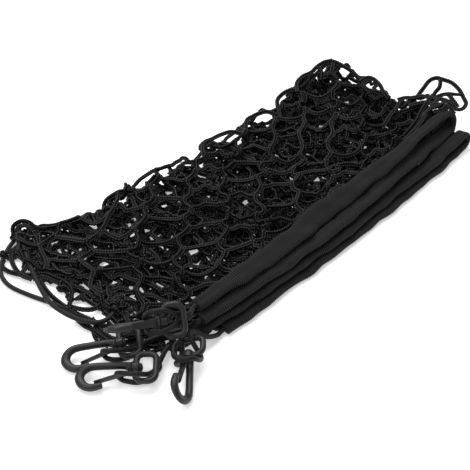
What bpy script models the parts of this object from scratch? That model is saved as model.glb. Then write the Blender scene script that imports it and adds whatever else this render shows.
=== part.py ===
"""A car-boot cargo net, folded twice and laid flat, with its four swivel snap hooks.

The net is a stretchy rectangle. Each long side is hemmed into a webbing sleeve over an elastic cord, and the
cord comes out of every sleeve end, is hitched to a hook and crosses the short side of the net. It lies folded
end to end and then side to side: four layers, with both sleeves along the front (-Y), both turned back at +X,
and the hooks at -X. Metres, +Z up. The lengths in the tables are millimetres.
"""

import math

import bmesh
import bpy
from mathutils import Matrix, Vector

for old in list(bpy.data.objects):
    bpy.data.objects.remove(old, do_unlink=True)

MM = 0.001
GAP = 0.3                     # between neighbouring pieces, mm
ORIGIN_AT = (28.755, 9.596)     # the middle of the bundle's outline in the tables' own x and y, mm


def placed(point):
    """A table's point in millimetres, as a world point in metres."""
    return Vector((point[0] - ORIGIN_AT[0], point[1] - ORIGIN_AT[1], point[2])) * MM


def smooth_through(rows, x, first=0):
    """A row of a table read at x by a smooth curve; column `first` holds the rising x values."""
    xs = [row[first] for row in rows]
    x = min(max(x, xs[0]), xs[-1])
    i = max(j for j in range(len(xs) - 1) if xs[j] <= x)
    before, a, b, after = rows[max(i - 1, 0)], rows[i], rows[i + 1], rows[min(i + 2, len(rows) - 1)]
    t = (x - xs[i]) / (xs[i + 1] - xs[i])
    weights = ((-t + 2 * t * t - t ** 3) / 2, (2 - 5 * t * t + 3 * t ** 3) / 2,
               (t + 4 * t * t - 3 * t ** 3) / 2, (t ** 3 - t * t) / 2)
    return [sum(w * row[c] for w, row in zip(weights, (before, a, b, after))) for c in range(len(a))]


def smooth_route(points, step):
    """Points about `step` apart on a smooth curve through the given points."""
    route = [Vector(p) for p in points]
    fine = []
    for i in range(len(route) - 1):
        before, after = route[max(i - 1, 0)], route[min(i + 2, len(route) - 1)]
        for k in range(12):
            t = k / 12
            fine.append(((-t + 2 * t * t - t ** 3) * before + (2 - 5 * t * t + 3 * t ** 3) * route[i]
                         + (t + 4 * t * t - 3 * t ** 3) * route[i + 1] + (t ** 3 - t * t) * after) / 2)
    fine.append(route[-1])
    lengths = [0.0]
    for a, b in zip(fine, fine[1:]):
        lengths.append(lengths[-1] + (b - a).length)
    count = max(2, round(lengths[-1] / step))
    out = []
    for k in range(count + 1):
        s = lengths[-1] * k / count
        i = min(max(j for j in range(len(lengths)) if lengths[j] <= s + 1e-9), len(fine) - 2)
        share = (s - lengths[i]) / max(lengths[i + 1] - lengths[i], 1e-9)
        out.append(fine[i].lerp(fine[i + 1], share))
    return out


# ---------------------------------------------------------------- materials

def finish(name, colour, roughness):
    material = bpy.data.materials.new(name)
    material.use_nodes = True
    shader = material.node_tree.nodes["Principled BSDF"]
    shader.inputs["Base Color"].default_value = (*colour, 1.0)
    shader.inputs["Roughness"].default_value = roughness
    shader.inputs["Metallic"].default_value = 0.0
    return material


NETTING = finish("black_netting", (0.008, 0.008, 0.009), 0.75)
WEBBING = finish("black_sleeve_webbing", (0.017, 0.017, 0.019), 0.8)
ELASTIC = finish("black_elastic_cord", (0.022, 0.022, 0.024), 0.6)
PLASTIC = finish("dark_grey_nylon", (0.035, 0.036, 0.038), 0.5)


def new_object(name, bm, material, smooth_degrees=40):
    mesh = bpy.data.meshes.new(name)
    bmesh.ops.recalc_face_normals(bm, faces=bm.faces)
    bm.to_mesh(mesh)
    bm.free()
    mesh.shade_smooth()
    mesh.set_sharp_from_angle(angle=math.radians(smooth_degrees))
    mesh.materials.append(material)
    made = bpy.data.objects.new(name, mesh)
    bpy.context.collection.objects.link(made)
    return made


def skin_rings(bm, rings, closed=False):
    """Quads between successive rings of vertices, with both ends capped unless the rings close on themselves."""
    count = len(rings[0])
    pairs = list(zip(rings, rings[1:]))
    if closed:
        pairs.append((rings[-1], rings[0]))
    for a, b in pairs:
        for i in range(count):
            j = (i + 1) % count
            bm.faces.new((a[i], a[j], b[j], b[i]))
    if not closed:
        bm.faces.new(list(reversed(rings[0])))
        bm.faces.new(rings[-1])


# ---------------------------------------------------------------- the two sleeves

SLEEVE_SIDES = 10
SLEEVE_STEP = 14.0            # between the sections along a sleeve
MOUTH_DEPTH = 12.0            # of the open end that the cord comes out of
MOUTH_RADIUS = 2.6
TURN_STEPS = 5                # sections around the turned-back end

# Each run of a sleeve from its mouth to the far end: x, centre y, centre z, half width, half height, tilt in degrees
RUN_1 = ((-108, -53.5, 27.2, 5.6, 3.9, 8), (-50, -57.0, 26.8, 7.5, 3.0, 15), (0, -58.5, 27.0, 8.5, 2.7, 22),
         (50, -57.5, 27.8, 9.0, 2.6, 28), (100, -58.5, 28.0, 8.0, 3.0, 24), (150, -60.5, 29.5, 7.0, 3.2, 15),
         (190, -58.0, 30.5, 6.5, 3.3, 5), (226, -61.0, 29.8, 6.2, 3.3, 0))
RUN_2 = ((-112, -60.5, 19.2, 5.6, 3.6, 0), (-50, -66.0, 18.7, 6.3, 3.3, 0), (0, -68.5, 18.6, 6.3, 3.2, 0),
         (50, -71.0, 18.5, 6.3, 3.2, 0), (100, -69.5, 18.5, 6.3, 3.2, 0), (150, -69.0, 18.4, 6.3, 3.2, 0),
         (190, -67.0, 18.2, 6.3, 3.2, 0), (226, -63.0, 17.6, 6.2, 3.3, 0))
RUN_3 = ((-130, -57.5, 6.2, 5.6, 3.6, 0), (-97, -64.5, 11.4, 6.0, 3.3, 0), (-50, -69.0, 11.3, 6.3, 3.3, 0),
         (0, -72.0, 11.2, 6.3, 3.3, 0), (50, -75.5, 11.1, 6.3, 3.3, 0), (100, -74.5, 11.1, 6.3, 3.3, 0),
         (150, -75.5, 11.1, 6.3, 3.3, 0), (190, -76.0, 11.2, 6.2, 3.2, 0), (231, -77.0, 11.9, 6.2, 3.3, 0))
RUN_4 = ((-96, -71.5, 3.8, 5.6, 3.7, 0), (-50, -74.0, 3.6, 6.3, 3.5, 0), (0, -76.0, 3.6, 6.3, 3.5, 0),
         (50, -78.5, 3.6, 6.3, 3.5, 0), (100, -79.0, 3.6, 6.3, 3.5, 0), (150, -79.5, 3.6, 6.3, 3.5, 0),
         (190, -78.5, 3.6, 6.3, 3.5, 0), (231, -77.5, 3.7, 6.2, 3.5, 0))


def sleeve_section(bm, centre, along, half_width, half_height, tilt, width_axis):
    """One ten-sided oval section, square to the sleeve's own direction."""
    width = (width_axis - along * width_axis.dot(along)).normalized()
    height = along.cross(width)
    turn = math.radians(tilt)
    across = width * math.cos(turn) + height * math.sin(turn)
    upward = height * math.cos(turn) - width * math.sin(turn)
    ring = []
    for i in range(SLEEVE_SIDES):
        angle = 2 * math.pi * (i + 0.5) / SLEEVE_SIDES
        point = centre + across * (half_width * math.cos(angle)) + upward * (half_height * math.sin(angle))
        ring.append(bm.verts.new(placed(point)))
    return ring


def run_stations(run):
    length = run[-1][0] - run[0][0]
    count = round(length / SLEEVE_STEP)
    return [smooth_through(run, run[0][0] + length * i / count) for i in range(count + 1)]


def sleeve(name, upper_run, lower_run):
    """A sleeve from its upper mouth, along the upper run, around the turned-back end and along the lower run."""
    rows = run_stations(upper_run)
    back = run_stations(lower_run)
    top, bottom = rows[-1], back[-1]
    radius = (top[2] - bottom[2]) / 2
    for i in range(1, TURN_STEPS):
        share = i / TURN_STEPS
        angle = math.pi * share
        blend = [a + (b - a) * share for a, b in zip(top, bottom)]
        blend[0] += radius * math.sin(angle)
        blend[2] = (top[2] + bottom[2]) / 2 + radius * math.cos(angle)
        rows.append(blend)
    rows += list(reversed(back))
    centres = [Vector(row[:3]) for row in rows]
    bm = bmesh.new()
    rings = []
    for i, row in enumerate(rows):
        before, after = centres[max(i - 1, 0)], centres[min(i + 1, len(rows) - 1)]
        along = (after - before).normalized()
        rings.append(sleeve_section(bm, centres[i], along, *row[3:6], Vector((0, 1, 0))))
    for at_start in (True, False):
        a, b = (centres[0], centres[1]) if at_start else (centres[-1], centres[-2])
        inward = (b - a).normalized()
        along = inward if at_start else -inward
        lips = [sleeve_section(bm, a + inward * depth, along, MOUTH_RADIUS, MOUTH_RADIUS, 0, Vector((0, 1, 0)))
                for depth in (0.0, MOUTH_DEPTH)]
        if at_start:
            rings = [lips[1], lips[0]] + rings
        else:
            rings = rings + lips
    skin_rings(bm, rings)
    return new_object(name, bm, WEBBING, 60)


sleeve("sleeve_b", RUN_1, RUN_2)
sleeve("sleeve_a", RUN_3, RUN_4)


# ---------------------------------------------------------------- the folded net

SHEET = 2.4                   # the netting's thickness
CELLS_ALONG = 23              # from the hook end to the far fold, in each layer
CELLS_ACROSS = 11             # from a sleeve to the back fold, in each layer
FOLD_CELLS = 4                # around the back fold
FAR_FOLD_CELLS = 2            # around the far fold
SEAM_ROW_Y = -38.0            # the first mesh line that is common to all layers
SEAM_CELLS = 2                # cells between a sleeve and that line
SLEEVE_CLEARANCE = 1.2

# Back edge of the bundle: x, y
BACK_EDGE = ((-130, 122), (-98, 108), (-57, 101), (-12, 98), (30, 91), (60, 83), (92, 74), (130, 72),
             (160, 76), (190, 84), (215, 78), (240, 70))
# Left end and far end of the netting: share of the way from the sleeves to the back edge, x
LEFT_END = ((0.0, -86), (0.10, -96), (0.22, -104), (0.34, -112), (0.42, -121), (0.50, -131),
            (0.57, -145), (0.66, -151), (0.82, -142),
            (1.0, -112))
FAR_END = ((0.0, 224), (0.07, 250), (0.14, 266), (0.24, 262), (0.34, 236), (0.46, 232), (0.60, 240),
           (0.78, 234), (1.0, 218))
# Spacing of the layers and swell of the upper ones: x, layer pitch, swell
LOFT = ((-155, 3.6, 0.0), (-120, 4.6, 0.5), (-80, 6.6, 1.6), (-20, 7.6, 2.6), (60, 7.6, 2.6), (140, 7.4, 2.4),
        (200, 7.6, 3.0), (270, 7.6, 3.6))
# The largest gaps that go through all four layers: cell along, cell across (counted from the sleeves)
GAPS_AT = ((2, 6), (3, 8), (5, 5), (6, 9), (8, 7), (10, 4), (11, 8), (13, 6), (15, 9), (17, 5), (19, 8), (21, 6))


def swell_at(x, y):
    """How the settled netting rises and falls, from -1 to 1."""
    return (0.5 * math.sin(x / 21.0 + 0.9) * math.cos(y / 17.0 - 0.4) + 0.3 * math.sin(x / 34.0 - y / 29.0)
            + 0.2 * math.cos(x / 12.5 + y / 15.0))


def sleeve_edge(run, x):
    """The y of a sleeve run's inner side at x, where the netting is sewn on."""
    row = smooth_through(run, x)
    return row[1] + row[3] * math.cos(math.radians(row[5])) + SLEEVE_CLEARANCE


def layer_xy(along, across, run):
    """A mesh node's x and y; along and across are in cells and may be fractions."""
    share = across / CELLS_ACROSS
    left = smooth_through(LEFT_END, share)[1]
    far = smooth_through(FAR_END, share)[1]
    x = left + (far - left) * along / CELLS_ALONG
    back = smooth_through(BACK_EDGE, x)[1]
    if across < SEAM_CELLS:
        seam = sleeve_edge(run, x)
        return x, seam + (SEAM_ROW_Y - seam) * across / SEAM_CELLS
    return x, SEAM_ROW_Y + (back - SEAM_ROW_Y) * (across - SEAM_CELLS) / (CELLS_ACROSS - SEAM_CELLS)


def net_columns():
    """Across the net from the lower sleeves, around the back fold, to the upper sleeves: cell, angle of the fold."""
    columns = [(c, 0.0) for c in range(CELLS_ACROSS + 1)]
    columns += [(CELLS_ACROSS, math.pi * i / FOLD_CELLS) for i in range(1, FOLD_CELLS)]
    return columns + [(c, math.pi) for c in range(CELLS_ACROSS, -1, -1)]


def net_rows():
    """Along the net from the hook end, around the far fold, back to the hook end: cell, angle of the fold."""
    rows = [(c, 0.0) for c in range(CELLS_ALONG + 1)]
    rows += [(CELLS_ALONG, math.pi * i / FAR_FOLD_CELLS) for i in range(1, FAR_FOLD_CELLS)]
    return rows + [(c, math.pi) for c in range(CELLS_ALONG, -1, -1)]


def net_point(row, column):
    """The mid-surface of the twice-folded net, in millimetres."""
    along, far_angle = row
    across, back_angle = column
    lower, upper = ((RUN_4, RUN_3), (RUN_1, RUN_2))
    run = (lower if back_angle < math.pi / 2 else upper)[0 if far_angle < math.pi / 2 else 1]
    x, y = layer_xy(along, across, run)
    pitch, swell = smooth_through(LOFT, x)[1:3]
    offset = pitch / 2 * math.cos(far_angle)
    radius = pitch + offset
    reach = pitch / 2 * math.sin(far_angle)
    height = SHEET / 2 + 1.5 * pitch - radius * math.cos(back_angle)
    share_up = (height - SHEET / 2) / (3 * pitch)
    taper = min(1.0, across / SEAM_CELLS)
    height += swell * share_up * swell_at(x, y) * taper
    return Vector((x + reach, y + radius * math.sin(back_angle), height))


def cargo_net():
    """One sheet, a few cells short of whole at its largest gaps, as a closed solid."""
    rows, columns = net_rows(), net_columns()
    middle = [[net_point(r, c) for c in columns] for r in rows]
    bm = bmesh.new()
    sides = ([], [])
    for i, line in enumerate(middle):
        for side in sides:
            side.append([])
        for j, point in enumerate(line):
            along = middle[min(i + 1, len(rows) - 1)][j] - middle[max(i - 1, 0)][j]
            across = line[min(j + 1, len(columns) - 1)] - line[max(j - 1, 0)]
            normal = across.cross(along).normalized()
            for sign, side in zip((0.5, -0.5), sides):
                side[-1].append(bm.verts.new(placed(point + normal * SHEET * sign)))
    open_cells = set()
    for along, across in GAPS_AT:
        for i in (along, len(rows) - 2 - along):
            for j in (across, len(columns) - 2 - across):
                open_cells.add((i, j))
    kept = {(i, j) for i in range(len(rows) - 1) for j in range(len(columns) - 1)} - open_cells
    for i, j in kept:
        corners = ((i, j), (i, j + 1), (i + 1, j + 1), (i + 1, j))
        for side, order in zip(sides, (1, -1)):
            bm.faces.new([side[a][b] for a, b in corners[::order]])
        neighbours = ((i - 1, j), (i, j + 1), (i + 1, j), (i, j - 1))
        edges = (((i, j), (i, j + 1)), ((i, j + 1), (i + 1, j + 1)), ((i + 1, j + 1), (i + 1, j)),
                 ((i + 1, j), (i, j)))
        for neighbour, (a, b) in zip(neighbours, edges):
            if neighbour not in kept:
                bm.faces.new((sides[0][a[0]][a[1]], sides[0][b[0]][b[1]],
                              sides[1][b[0]][b[1]], sides[1][a[0]][a[1]]))
    return new_object("net", bm, NETTING, 60)


cargo_net()


# ---------------------------------------------------------------- the swivel snap hooks

# Where each hook lies. The boss is the collar that the hook turns in; heading and pitch point from the hook's bend
# to its eye, and the rolls turn the hook's own plane and the eye's plane about that axis, degrees.
# name, boss x, y, z, heading, pitch, hook roll, eye roll
HOOKS = (("hook_1", -141.6, -50.4, 32.0, -40.1, 2.0, -40.4, 49.6),
         ("hook_2", -166.2, -26.2, 11.4, -42.0, 5.5, 16.0, 16.0),
         ("hook_3", -176.8, -53.4, 11.4, -51.5, 5.0, 14.0, 12.0),
         ("hook_4", -142.0, -75.0, 11.4, 40.6, 10.0, -125.4, -21.0))

BOSS_LENGTH = 5.3
BOSS_RADIUS = 4.9
BORE_RADIUS = 2.6
SHANK_RADIUS = BORE_RADIUS - GAP
HEAD_RADIUS = 3.6
EYE_BAR_RADIUS = 2.45
EYE_HALF_WIDTH = 11.95        # between the centres of its side bars
EYE_LENGTH = 15.2             # from the front bar's centre, in the boss, to the end bar's centre
EYE_CORNER = 5.5
HOOK_LENGTH = 46.2            # from the boss's middle to the outside of the bend
HOOK_SIDES = 10

# The hook's bar from its nose, around the bend, along the spine to the neck: distance from the bend's outside,
# offset towards the spine's side, half thickness in the hook's plane, half thickness across it
HOOK_BAR = ((20.8, -14.1, 0.9, 1.2), (20.2, -14.3, 2.1, 2.4), (18.0, -15.0, 2.6, 3.0), (13.5, -15.9, 2.9, 3.1),
            (9.0, -15.0, 3.2, 3.2), (5.4, -12.0, 3.5, 3.3), (3.6, -7.6, 3.6, 3.4), (4.9, -3.0, 3.4, 3.3),
            (8.6, 0.6, 3.1, 3.2), (14.0, 2.1, 2.9, 3.1), (25.0, 2.3, 2.8, 3.0), (36.0, 2.2, 2.8, 3.1),
            (40.2, 1.4, 3.2, 3.8), (42.6, 0.3, 4.2, 4.5))
GATE_TIP = (18.2, -9.8)
GATE_ROOT = (38.6, -4.6)
GATE_THICKNESS = 2.6
GATE_TIP_WIDTH = 6.0
GATE_ROOT_WIDTH = 8.4


def hook_frame(x, y, z, heading, pitch, roll):
    """The world matrix at a boss: local X towards the eye, local Y towards the spine's side or across the eye."""
    turn = (Matrix.Rotation(math.radians(heading), 4, "Z") @ Matrix.Rotation(math.radians(-pitch), 4, "Y")
            @ Matrix.Rotation(math.radians(roll), 4, "X"))
    return Matrix.Translation(placed((x, y, z))) @ turn


def local(distance, offset, across=0.0):
    """A point of a hook, told by its distance from the bend's outside, in the boss's own axes."""
    return Vector((distance - HOOK_LENGTH, offset, across)) * MM


def oval_ring(bm, centre, across, upward, sides):
    ring = []
    for i in range(sides):
        angle = 2 * math.pi * i / sides
        ring.append(bm.verts.new(centre + across * math.cos(angle) + upward * math.sin(angle)))
    return ring


def hook_body(name, frame):
    """The bent bar with its shank and the mushroom head that keeps it in the boss: one moulding."""
    bm = bmesh.new()
    up = Vector((0, 0, 1))
    centres = [local(*row[:2]) for row in HOOK_BAR]
    rings = []
    for i, row in enumerate(HOOK_BAR):
        ahead = centres[i + 1] if i + 1 < len(centres) else centres[i] + Vector((0.1, 0, 0))
        behind = centres[max(i - 1, 0)] if i + 1 < len(centres) else centres[i]
        across = up.cross((ahead - behind).normalized())
        rings.append(oval_ring(bm, centres[i], across * row[2] * MM, up * row[3] * MM, HOOK_SIDES))
    flange = HOOK_LENGTH - BOSS_LENGTH / 2 - GAP
    head = HOOK_LENGTH + BOSS_LENGTH / 2 + GAP
    turned = ((flange, 4.6), (flange, SHANK_RADIUS), (head, SHANK_RADIUS), (head, HEAD_RADIUS),
              (head + 1.2, HEAD_RADIUS - 0.2), (head + 2.4, HEAD_RADIUS - 1.4))
    for distance, radius in turned:
        rings.append(oval_ring(bm, local(distance, 0), Vector((0, radius, 0)) * MM, up * radius * MM, HOOK_SIDES))
    skin_rings(bm, rings)
    made = new_object(name + "_body", bm, PLASTIC)
    made.matrix_world = frame
    return made


def gate(name, frame):
    """The thin spring tongue that closes the hook, hinged at its root; its origin is on the hinge."""
    bm = bmesh.new()
    root, tip = Vector(GATE_ROOT), Vector(GATE_TIP)
    length = (tip - root).length
    half = GATE_THICKNESS / 2
    rings = []
    for share, thick, width in ((-0.045, 0.6, 0.9), (0.0, 1.0, 1.0), (0.5, 0.9, 0.9), (0.96, 0.8, 1.0),
                                (1.0, 0.5, 0.85)):
        reach = length * share
        broad = (GATE_ROOT_WIDTH + (GATE_TIP_WIDTH - GATE_ROOT_WIDTH) * min(max(share, 0), 1)) / 2 * width
        corners = ((-half * thick, -broad), (half * thick, -broad), (half * thick, broad), (-half * thick, broad))
        rings.append([bm.verts.new(Vector((-reach, a, b)) * MM) for a, b in corners])
    skin_rings(bm, rings)
    made = new_object(name + "_gate", bm, PLASTIC, 30)
    slope = math.atan2(root.y - tip.y, root.x - tip.x)
    made.matrix_world = frame @ Matrix.Translation(local(*GATE_ROOT)) @ Matrix.Rotation(slope, 4, "Z")
    return made


def eye_outline():
    """The centre line of the D-shaped eye: a rounded rectangle from the boss's middle and back to it."""
    length, half, corner = EYE_LENGTH, EYE_HALF_WIDTH, EYE_CORNER
    points = [(0.0, 0.0), (0.0, (half - corner) * 0.75)]
    for cx, cy, start in ((corner, half - corner, 180), (length - corner, half - corner, 90),
                          (length - corner, corner - half, 0), (corner, corner - half, -90)):
        for k in range(4):
            angle = math.radians(start - 30 * k)
            points.append((cx + corner * math.cos(angle), cy + corner * math.sin(angle)))
    points.append((0.0, (corner - half) * 0.75))
    return [Vector((x, y, 0)) * MM for x, y in points]


def turned_cylinder(name, radius, length, sides):
    """A cylinder along local X, centred on the boss."""
    bm = bmesh.new()
    bmesh.ops.create_cone(bm, cap_ends=True, segments=sides, radius1=radius * MM, radius2=radius * MM,
                          depth=length * MM, matrix=Matrix.Rotation(math.pi / 2, 4, "Y"))
    return new_object(name, bm, PLASTIC)


def combine(target, tool, operation):
    """A Boolean kept on its object, with the tool hidden as a guide."""
    modifier = target.modifiers.new(operation.title(), "BOOLEAN")
    modifier.operation = operation
    modifier.object = tool
    tool.hide_render = True
    tool.display_type = "WIRE"
    tool.parent = target


def eye(name, frame):
    """The D-shaped eye with the boss in its front bar, bored for the hook's shank."""
    bm = bmesh.new()
    points = eye_outline()
    up = Vector((0, 0, 1))
    rings = []
    for i, point in enumerate(points):
        along = (points[(i + 1) % len(points)] - points[i - 1]).normalized()
        rings.append(oval_ring(bm, point, up.cross(along) * EYE_BAR_RADIUS * MM, up * EYE_BAR_RADIUS * MM, 8))
    skin_rings(bm, rings, closed=True)
    made = new_object(name + "_eye", bm, PLASTIC)
    boss = turned_cylinder(name + "_boss_guide", BOSS_RADIUS, BOSS_LENGTH, 16)
    bore = turned_cylinder(name + "_bore_guide", BORE_RADIUS, BOSS_LENGTH + 4, 12)
    combine(made, boss, "UNION")
    combine(made, bore, "DIFFERENCE")
    made.matrix_world = frame
    return made


for hook_name, *place in HOOKS:
    *spot, hook_roll, eye_roll = place
    hook_body(hook_name, hook_frame(*spot, hook_roll))
    gate(hook_name, hook_frame(*spot, hook_roll))
    eye(hook_name, hook_frame(*spot, eye_roll))


# ---------------------------------------------------------------- the elastic cords

CORD = 4.0                    # diameter


def cord(name, points, step):
    """A tube of round elastic along a smooth curve through the points, which are already in metres."""
    curve = bpy.data.curves.new(name, "CURVE")
    curve.dimensions = "3D"
    curve.bevel_depth = CORD / 2 * MM
    curve.bevel_resolution = 2
    curve.use_fill_caps = True
    route = smooth_route(points, step * MM)
    spline = curve.splines.new("POLY")
    spline.points.add(len(route) - 1)
    for slot, point in zip(spline.points, route):
        slot.co = (*point, 1.0)
    made = bpy.data.objects.new(name, curve)
    made.data.materials.append(ELASTIC)
    bpy.context.collection.objects.link(made)
    return made


# The hitch around each hook. Its two legs pass the eye's end bar, go through the eye and over its front bar, told by
# distance from the bend's outside, offset across the eye and height over the eye's plane.
EYE_PASSAGE = ((67.5, 2.7, -6.0), (60.8, 3.1, -5.3), (54.2, 5.2, 0.0), (46.2, 8.2, 5.2))
# They join in a bight around the hook's bar: distance past the bight, share of its reach, share of its depth
BIGHT = ((10.0, 1.0, 0.4), (5.0, 1.0, -0.3), (1.4, 0.82, -0.92), (0.0, 0.0, -1.0))

# name, bight's distance, reach on the eye's +Y side, on its -Y side, depth, 1 if under the hook and -1 if over it,
# and the side of the leg that goes into a sleeve
HITCHES = (("hook_1", 23.0, 8.8, 8.8, 8.4, 1, 1),
           ("hook_2", 29.0, 9.4, 11.8, 6.2, 1, 1),
           ("hook_3", 30.0, 9.4, 12.4, 6.5, 1, 1),
           ("hook_4", 30.5, 9.8, 9.0, 11.6, -1, -1))

# The legs beyond the eye's end bar, in the tables' millimetres: the run of sleeve that the first leg goes into, its
# points on the way there, and the points of the other leg
LEGS = {
    "hook_1": (RUN_1, ((-116.0, -55.5, 29.0),), ((-113.5, -49.0, 19.0), (-113.5, -42.5, 10.0))),
    "hook_2": (RUN_2, ((-136.0, -43.5, 9.5), (-123.0, -52.5, 12.0)), ((-148.0, -30.0, 8.0), (-148.5, -21.0, 5.0))),
    "hook_3": (RUN_3, ((-159.0, -63.0, 9.0), (-152.0, -57.5, 6.5), (-144.5, -53.5, 5.5), (-138.5, -53.0, 5.5)),
               ((-158.0, -55.0, 5.0), (-153.0, -47.0, 4.0))),
    "hook_4": (RUN_4, ((-117.0, -69.8, 10.5), (-106.0, -72.0, 5.0)), ((-133.0, -56.5, 15.0), (-136.0, -50.0, 9.5))),
}


def hitch_route(frame, distance, far_reach, near_reach, depth, side, first):
    """From one leg's start, through the eye, around the hook's bar and back out by the other leg."""
    legs = []
    for way, reach in ((1, far_reach), (-1, near_reach))[::first]:
        leg = [frame @ local(at, way * offset, side * height) for at, offset, height in EYE_PASSAGE]
        leg += [frame @ local(distance + past, way * reach * share, side * depth * down)
                for past, share, down in BIGHT]
        legs.append(leg)
    return legs[0] + legs[1][-2::-1]


def into_mouth(run):
    """The last points of a leg: just outside a sleeve's mouth, in it and near the bottom of its pocket."""
    mouth, further = (Vector(smooth_through(run, run[0][0] + at)[:3]) for at in (0.0, MOUTH_DEPTH))
    inward = (further - mouth).normalized()
    return [mouth + inward * at for at in (-4.0, 1.0, MOUTH_DEPTH - 3.0)]


for hook_name, *shape in HITCHES:
    place = next(row[1:] for row in HOOKS if row[0] == hook_name)
    route = hitch_route(hook_frame(*place[:5], place[6]), *shape)
    run, to_sleeve, onward = LEGS[hook_name]
    start = [placed(p) for p in (*to_sleeve, *into_mouth(run))]
    cord(hook_name + "_hitch", start[::-1] + route + [placed(p) for p in onward], 5.0)

# The two cords across the short sides, each lying in an arc past the net's hook end
SIDE_CORDS = (("side_cord_a", ((-113.5, -39, 7), (-122, -20, 3.5), (-129, 0, 3), (-134, 12, 5), (-140, 16, 7.5),
                               (-148, 10, 8), (-158, 14, 7.5), (-165, 32, 7), (-164, 59, 7), (-152, 92, 6),
                               (-136, 114, 5), (-122, 127, 6), (-108, 131, 9))),
              ("side_cord_b", ((-149, -16, 3), (-153, 2, 2.3), (-157, 26, 2.3), (-161, 50, 2.3), (-167, 74, 2.3),
                               (-170, 96, 2.3), (-164, 113, 2.3), (-150, 125, 2.3), (-134, 134, 2.5),
                               (-118, 139, 4), (-106, 138, 6))))
for cord_name, points in SIDE_CORDS:
    cord(cord_name, [placed(p) for p in points], 9.0)
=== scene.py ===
import math

import bmesh
import bpy
import numpy as np
from mathutils import Matrix, Vector


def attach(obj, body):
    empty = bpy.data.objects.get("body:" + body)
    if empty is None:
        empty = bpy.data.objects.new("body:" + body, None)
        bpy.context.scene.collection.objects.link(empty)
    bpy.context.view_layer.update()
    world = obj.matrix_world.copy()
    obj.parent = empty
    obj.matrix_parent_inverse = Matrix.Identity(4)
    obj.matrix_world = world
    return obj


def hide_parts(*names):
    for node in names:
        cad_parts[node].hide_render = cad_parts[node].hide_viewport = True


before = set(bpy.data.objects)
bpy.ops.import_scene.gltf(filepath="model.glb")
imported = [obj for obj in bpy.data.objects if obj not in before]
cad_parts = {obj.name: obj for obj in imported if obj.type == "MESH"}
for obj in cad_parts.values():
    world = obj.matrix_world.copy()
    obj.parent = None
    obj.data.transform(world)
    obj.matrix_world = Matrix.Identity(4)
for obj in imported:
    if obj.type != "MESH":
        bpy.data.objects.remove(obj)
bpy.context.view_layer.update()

# A cargo net for a car boot, folded in four layers on a table: two webbing sleeves along the front, knotless
# netting between them, one loop of round elastic through the edges and a swivel snap hook at each corner.
# The tables are in millimetres from a point on the table; ORIGIN_AT moves them to the part's own frame.

MM = 0.001
ORIGIN_AT = (28.755, 9.596)


def placed(point):
    """A table's point in millimetres, in the part's frame in metres."""
    return Vector((point[0] - ORIGIN_AT[0], point[1] - ORIGIN_AT[1], point[2])) * MM


# ---------------------------------------------------------------- the studio
# A long lens looks down on the folded net from the front left. The table is plain white and lit evenly from
# all round. A large soft box above and behind draws the highlights on the yarn; a smaller one is at the left.

CAMERA_RISE = 40.0              # degrees above the table
CAMERA_TURN = 40.6              # degrees from +X towards +Y, the way the camera looks
CAMERA_DISTANCE = 1190.0
LENS = 107.2
TABLE_REACH = 4.0               # metres from the middle to each edge

target = placed((0, 0, 0))
rise, turn = math.radians(CAMERA_RISE), math.radians(CAMERA_TURN)
back = Vector((-math.cos(rise) * math.cos(turn), -math.cos(rise) * math.sin(turn), math.sin(rise)))
camera = bpy.data.objects.new("camera", bpy.data.cameras.new("camera"))
camera.data.lens = LENS
camera.data.sensor_width = 36.0
camera.data.clip_start = 0.01
camera.location = target + back * CAMERA_DISTANCE * MM
camera.rotation_euler = (-back).to_track_quat("-Z", "Y").to_euler()
bpy.context.collection.objects.link(camera)
bpy.context.scene.camera = camera
bpy.context.scene.view_settings.view_transform = "Standard"


def srgb(hex_colour):
    """Linear red, green and blue of an sRGB hex colour."""
    parts = [int(hex_colour[i:i + 2], 16) / 255 for i in (1, 3, 5)]
    return [c / 12.92 if c <= 0.04045 else ((c + 0.055) / 1.055) ** 2.4 for c in parts]


def add(tree, kind, links=None, **settings):
    """A node of this kind with its settings; `links` gives an input a value or another node's output."""
    made = tree.nodes.new(kind)
    for name, value in settings.items():
        setattr(made, name, value)
    for socket, value in (links or {}).items():
        if isinstance(value, bpy.types.NodeSocket):
            tree.links.new(value, made.inputs[socket])
        else:
            made.inputs[socket].default_value = value
    return made


def new_material(name, colour, roughness):
    """A material, its tree and its shader, with what is the same all over set on the shader itself."""
    made = bpy.data.materials.new(name)
    made.use_nodes = True
    shader = made.node_tree.nodes["Principled BSDF"]
    shader.inputs["Base Color"].default_value = (*srgb(colour), 1)
    shader.inputs["Roughness"].default_value = roughness
    return made, made.node_tree, shader


# Matt white laminate: an even diffuse white, with a glow of its own that keeps it white beside the black net.
laminate, _, laminate_shader = new_material("white_laminate", "#f4f4f4", 0.9)
laminate_shader.inputs["Specular IOR Level"].default_value = 0.0
laminate_shader.inputs["Emission Color"].default_value = (1, 1, 1, 1)
laminate_shader.inputs["Emission Strength"].default_value = 0.4
floor_mesh = bpy.data.meshes.new("table")
reach = TABLE_REACH
floor_mesh.from_pydata([(-reach, -reach, 0), (reach, -reach, 0), (reach, reach, 0), (-reach, reach, 0)], [],
                       [(0, 1, 2, 3)])
floor_mesh.materials.append(laminate)
table = bpy.data.objects.new("table", floor_mesh)
bpy.context.collection.objects.link(table)

world = bpy.data.worlds.new("studio")
world.use_nodes = True
world.node_tree.nodes["Background"].inputs["Color"].default_value = (1, 1, 1, 1)
world.node_tree.nodes["Background"].inputs["Strength"].default_value = 0.45
bpy.context.scene.world = world

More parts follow.
